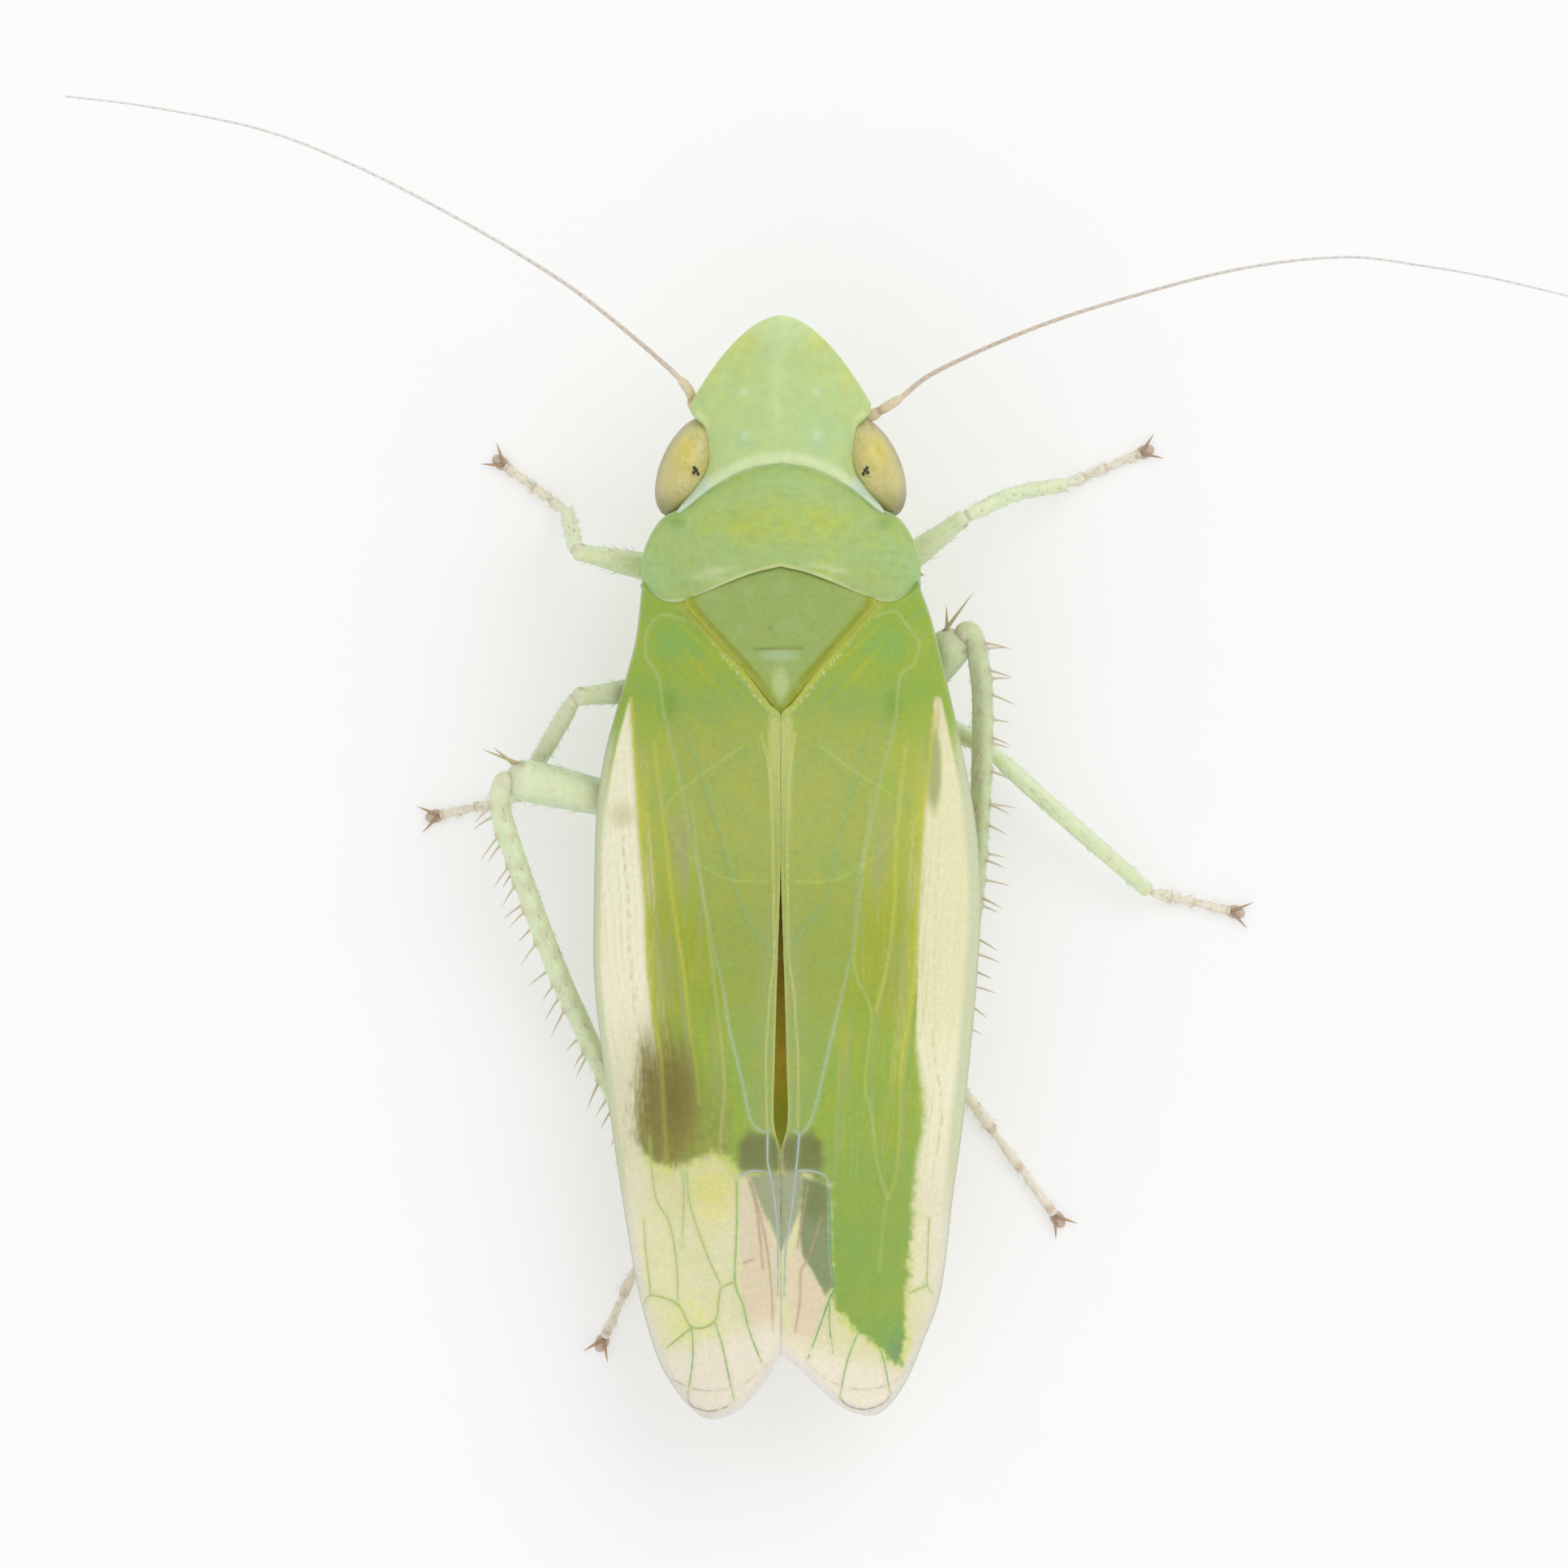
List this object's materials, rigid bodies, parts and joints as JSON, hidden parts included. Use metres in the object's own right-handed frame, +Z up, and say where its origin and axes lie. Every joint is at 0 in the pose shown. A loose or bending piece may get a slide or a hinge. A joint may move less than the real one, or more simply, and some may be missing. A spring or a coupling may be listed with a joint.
{
  "type": "leafhopper",
  "caption": "Pale green leafhopper at rest on its six feet, wings folded over its back, long thin antennae spread.",
  "frame": {"origin": "centre of the bounding box in plan, on the floor that the feet stand on", "axes": "+Z is up, the head points to -Y, the animal's left side is +X"},
  "size_m": [0.0073, 0.0064, 0.0014],
  "materials": {
    "cuticle_green": "satin",
    "pronotum_green": "satin",
    "wing_green": "satin",
    "hindwing_film": "satin",
    "eye_cream": "satin",
    "antenna_beige": "matte",
    "leg_green": "satin",
    "foot_brown": "matte",
    "abdomen_olive": "satin"
  },
  "bodies": {
    "root": {"abdomen": "abdomen_olive", "antenna_left": "antenna_beige", "antenna_right": "antenna_beige", "coxa_front_left": "leg_green", "coxa_front_right": "leg_green", "coxa_hind_left": "leg_green", "coxa_hind_right": "leg_green", "coxa_middle_left": "leg_green", "coxa_middle_right": "leg_green", "eye_left": "eye_cream", "eye_right": "eye_cream", "femur_front_left": "leg_green", "femur_front_right": "leg_green", "femur_hind_left": "leg_green", "femur_hind_right": "leg_green", "femur_middle_left": "leg_green", "femur_middle_right": "leg_green", "forewing_left": "wing_green", "forewing_right": "wing_green", "head": "cuticle_green", "hindwing_left": "hindwing_film", "hindwing_right": "hindwing_film", "pronotum": "pronotum_green", "rostrum": "cuticle_green", "scutellum": "cuticle_green", "tarsus_front_left": "foot_brown", "tarsus_front_right": "foot_brown", "tarsus_hind_left": "foot_brown", "tarsus_hind_right": "foot_brown", "tarsus_middle_left": "foot_brown", "tarsus_middle_right": "foot_brown", "thorax": "cuticle_green", "tibia_front_left": "leg_green", "tibia_front_right": "leg_green", "tibia_hind_left": "leg_green", "tibia_hind_right": "leg_green", "tibia_middle_left": "leg_green", "tibia_middle_right": "leg_green"}
  },
  "joints": []
}
